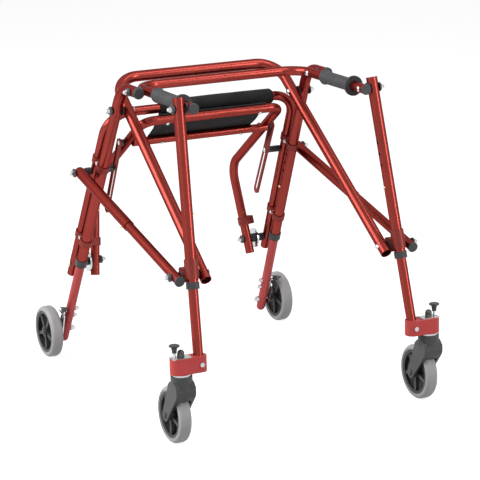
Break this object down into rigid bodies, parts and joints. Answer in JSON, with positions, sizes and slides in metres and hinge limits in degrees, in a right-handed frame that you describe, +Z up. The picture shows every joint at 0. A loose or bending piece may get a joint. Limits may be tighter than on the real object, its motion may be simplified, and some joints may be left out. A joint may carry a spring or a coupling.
{
  "type": "posterior walker",
  "caption": "Folding posterior walker with splayed tube legs, ribbed hand grips, swivel casters in front, one-way wheels behind and a flip-down sling seat.",
  "frame": {"origin": "on the floor, at the middle of the plan", "axes": "+Z up, the user faces -Y, +X to the user's left"},
  "size_m": [0.6724, 0.8664, 0.746],
  "materials": {
    "anodised_red": "red anodised tube with long bright streaks",
    "satin_red": "satin red anodised",
    "zinc": "bright plated fasteners",
    "brass": "plain",
    "dark_plastic": "fine grain",
    "hub_plastic": "moulded",
    "grip_rubber": "ribbed",
    "pad_foam": "closed foam",
    "sling_cloth": "woven",
    "tyre": "light grey, matt"
  },
  "bodies": {
    "rear_frame": {"rear_leg_l": "anodised_red", "rear_leg_r": "anodised_red", "back_bar": "anodised_red", "back_pad": "pad_foam", "tube_clamps": "satin_red", "rear_plastics": "dark_plastic", "rear_bolts": "zinc"},
    "cross_frame": {"cross_frame": "anodised_red", "cross_bolts": "zinc"},
    "handlebar": {"handlebar": "anodised_red", "grip_l": "grip_rubber", "grip_r": "grip_rubber", "bar_ends": "zinc"},
    "front_legs": {"front_leg_l": "anodised_red", "front_leg_r": "anodised_red", "knee_brackets": "satin_red", "leg_collars": "dark_plastic", "leg_bolts": "zinc"},
    "braces_upper": {"brace_upper_l": "anodised_red", "brace_upper_r": "anodised_red"},
    "braces_lower": {"brace_lower_l": "anodised_red", "brace_lower_r": "anodised_red", "brace_ends": "zinc"},
    "seat": {"seat_frame": "anodised_red", "seat_blocks": "satin_red", "seat_sling": "sling_cloth", "seat_bolts": "zinc"},
    "seat_struts": {"strut_l": "satin_red", "strut_r": "satin_red"},
    "slot_pins": {"slot_pins": "zinc"},
    "front_ext_l": {"front_inner_l": "anodised_red", "caster_block_l": "satin_red", "caster_hardware_l": "zinc"},
    "caster_l": {"fork_l": "dark_plastic"},
    "caster_wheel_l": {"caster_tyre_l": "tyre", "caster_hub_l": "hub_plastic"},
    "lock_knob_l": {"lock_knob_l": "dark_plastic"},
    "front_button_l": {"front_button_l": "brass"},
    "rear_ext_l": {"rear_inner_l": "anodised_red", "rear_axle_l": "zinc"},
    "rear_wheel_l": {"rear_tyre_l": "tyre", "rear_hub_l": "hub_plastic"},
    "brake_lever_l": {"brake_lever_l": "dark_plastic"},
    "rear_button_l": {"rear_button_l": "brass"},
    "brace_button_l": {"brace_button_l": "brass"},
    "front_ext_r": {"front_inner_r": "anodised_red", "caster_block_r": "satin_red", "caster_hardware_r": "zinc"},
    "caster_r": {"fork_r": "dark_plastic"},
    "caster_wheel_r": {"caster_tyre_r": "tyre", "caster_hub_r": "hub_plastic"},
    "lock_knob_r": {"lock_knob_r": "dark_plastic"},
    "front_button_r": {"front_button_r": "brass"},
    "rear_ext_r": {"rear_inner_r": "anodised_red", "rear_axle_r": "zinc"},
    "rear_wheel_r": {"rear_tyre_r": "tyre", "rear_hub_r": "hub_plastic"},
    "brake_lever_r": {"brake_lever_r": "dark_plastic"},
    "rear_button_r": {"rear_button_r": "brass"},
    "brace_button_r": {"brace_button_r": "brass"}
  },
  "joints": [
    {"name": "frame_fold", "type": "hinge", "parent": "rear_frame", "child": "cross_frame", "pos_m": [0, 0.061, 0.661], "axis": [1, 0, 0], "range_deg": [0, 60]},
    {"name": "handlebar_pivot", "type": "hinge", "parent": "rear_frame", "child": "handlebar", "pos_m": [0, -0.039, 0.72], "axis": [1, 0, 0], "range_deg": [0, 85.44]},
    {"name": "knee_pivot", "type": "hinge", "parent": "cross_frame", "child": "front_legs", "pos_m": [0, -0.35, 0.367], "axis": [1, 0, 0], "range_deg": [-21.55, 0]},
    {"name": "brace_pivot", "type": "hinge", "parent": "rear_frame", "child": "braces_upper", "pos_m": [0, 0.18639, 0.497], "axis": [1, 0, 0], "range_deg": [0, 63.74]},
    {"name": "brace_slide", "type": "slide", "parent": "braces_upper", "child": "braces_lower", "axis": [0, 0.9719, 0.2355], "range_m": [0, 0.2033]},
    {"name": "seat_hinge", "type": "hinge", "parent": "rear_frame", "child": "seat", "pos_m": [0, 0.31736, 0.2425], "axis": [1, 0, 0], "range_deg": [0, 32]},
    {"name": "strut_pivot", "type": "hinge", "parent": "seat", "child": "seat_struts", "pos_m": [0, 0.15152, 0.56478], "axis": [1, 0, 0], "range_deg": [0, 51.77]},
    {"name": "slot_slide", "type": "slide", "parent": "seat_struts", "child": "slot_pins", "axis": [0, 0.4576, -0.8892], "range_m": [0, 0.1171]},
    {"name": "front_leg_height_r", "type": "slide", "parent": "front_legs", "child": "front_ext_r", "axis": [-0.0493, 0.2281, 0.9724], "range_m": [0, 0.1016]},
    {"name": "caster_swivel_r", "type": "hinge", "parent": "front_ext_r", "child": "caster_r", "pos_m": [0.309, -0.41037, 0], "axis": [0, 0, 1], "continuous": true},
    {"name": "caster_roll_r", "type": "hinge", "parent": "caster_r", "child": "caster_wheel_r", "pos_m": [0.309, -0.36837, 0.0635], "axis": [1, 0, 0], "continuous": true},
    {"name": "lock_knob_press_r", "type": "slide", "parent": "front_ext_r", "child": "lock_knob_r", "axis": [0, 0, -1], "range_m": [0, 0.008], "stiffness_N_per_m": 900},
    {"name": "front_button_press_r", "type": "slide", "parent": "front_legs", "child": "front_button_r", "axis": [1, 0, 0], "range_m": [0, 0.003], "stiffness_N_per_m": 1500},
    {"name": "rear_leg_height_r", "type": "slide", "parent": "rear_frame", "child": "rear_ext_r", "axis": [-0.045, -0.4571, 0.8883], "range_m": [0, 0.1016]},
    {"name": "rear_roll_r", "type": "hinge", "parent": "rear_ext_r", "child": "rear_wheel_r", "pos_m": [0.3175, 0.36847, 0.0635], "axis": [1, 0, 0], "continuous": true},
    {"name": "lever_pivot_r", "type": "hinge", "parent": "rear_ext_r", "child": "brake_lever_r", "pos_m": [0.27034, 0.33888, 0.121], "axis": [1, 0, 0], "range_deg": [0, 25]},
    {"name": "rear_button_press_r", "type": "slide", "parent": "rear_frame", "child": "rear_button_r", "axis": [1, 0, 0], "range_m": [0, 0.003], "stiffness_N_per_m": 1500},
    {"name": "brace_button_press_r", "type": "slide", "parent": "braces_upper", "child": "brace_button_r", "axis": [-0.6428, -0.1804, 0.7445], "range_m": [0, 0.003], "stiffness_N_per_m": 1500},
    {"name": "front_leg_height_l", "type": "slide", "parent": "front_legs", "child": "front_ext_l", "axis": [0.0493, 0.2281, 0.9724], "range_m": [0, 0.1016]},
    {"name": "caster_swivel_l", "type": "hinge", "parent": "front_ext_l", "child": "caster_l", "pos_m": [-0.309, -0.41037, 0], "axis": [0, 0, 1], "continuous": true},
    {"name": "caster_roll_l", "type": "hinge", "parent": "caster_l", "child": "caster_wheel_l", "pos_m": [-0.309, -0.36837, 0.0635], "axis": [1, 0, 0], "continuous": true},
    {"name": "lock_knob_press_l", "type": "slide", "parent": "front_ext_l", "child": "lock_knob_l", "axis": [0, 0, -1], "range_m": [0, 0.008], "stiffness_N_per_m": 900},
    {"name": "front_button_press_l", "type": "slide", "parent": "front_legs", "child": "front_button_l", "axis": [-1, 0, 0], "range_m": [0, 0.003], "stiffness_N_per_m": 1500},
    {"name": "rear_leg_height_l", "type": "slide", "parent": "rear_frame", "child": "rear_ext_l", "axis": [0.045, -0.4571, 0.8883], "range_m": [0, 0.1016]},
    {"name": "rear_roll_l", "type": "hinge", "parent": "rear_ext_l", "child": "rear_wheel_l", "pos_m": [-0.3175, 0.36847, 0.0635], "axis": [1, 0, 0], "continuous": true},
    {"name": "lever_pivot_l", "type": "hinge", "parent": "rear_ext_l", "child": "brake_lever_l", "pos_m": [-0.27034, 0.33888, 0.121], "axis": [1, 0, 0], "range_deg": [0, 25]},
    {"name": "rear_button_press_l", "type": "slide", "parent": "rear_frame", "child": "rear_button_l", "axis": [-1, 0, 0], "range_m": [0, 0.003], "stiffness_N_per_m": 1500},
    {"name": "brace_button_press_l", "type": "slide", "parent": "braces_upper", "child": "brace_button_l", "axis": [0.6428, -0.1804, 0.7445], "range_m": [0, 0.003], "stiffness_N_per_m": 1500}
  ],
  "couplings": [
    {"joint": "handlebar_pivot", "follows": "frame_fold", "ratio": 1.4232},
    {"joint": "knee_pivot", "follows": "frame_fold", "ratio": -0.3584},
    {"joint": "brace_pivot", "follows": "frame_fold", "ratio": 1.0615},
    {"joint": "brace_slide", "follows": "frame_fold", "m_per_rad": 0.19404},
    {"joint": "strut_pivot", "follows": "seat_hinge", "ratio": 1.6161},
    {"joint": "slot_slide", "follows": "seat_hinge", "m_per_rad": 0.20949}
  ]
}
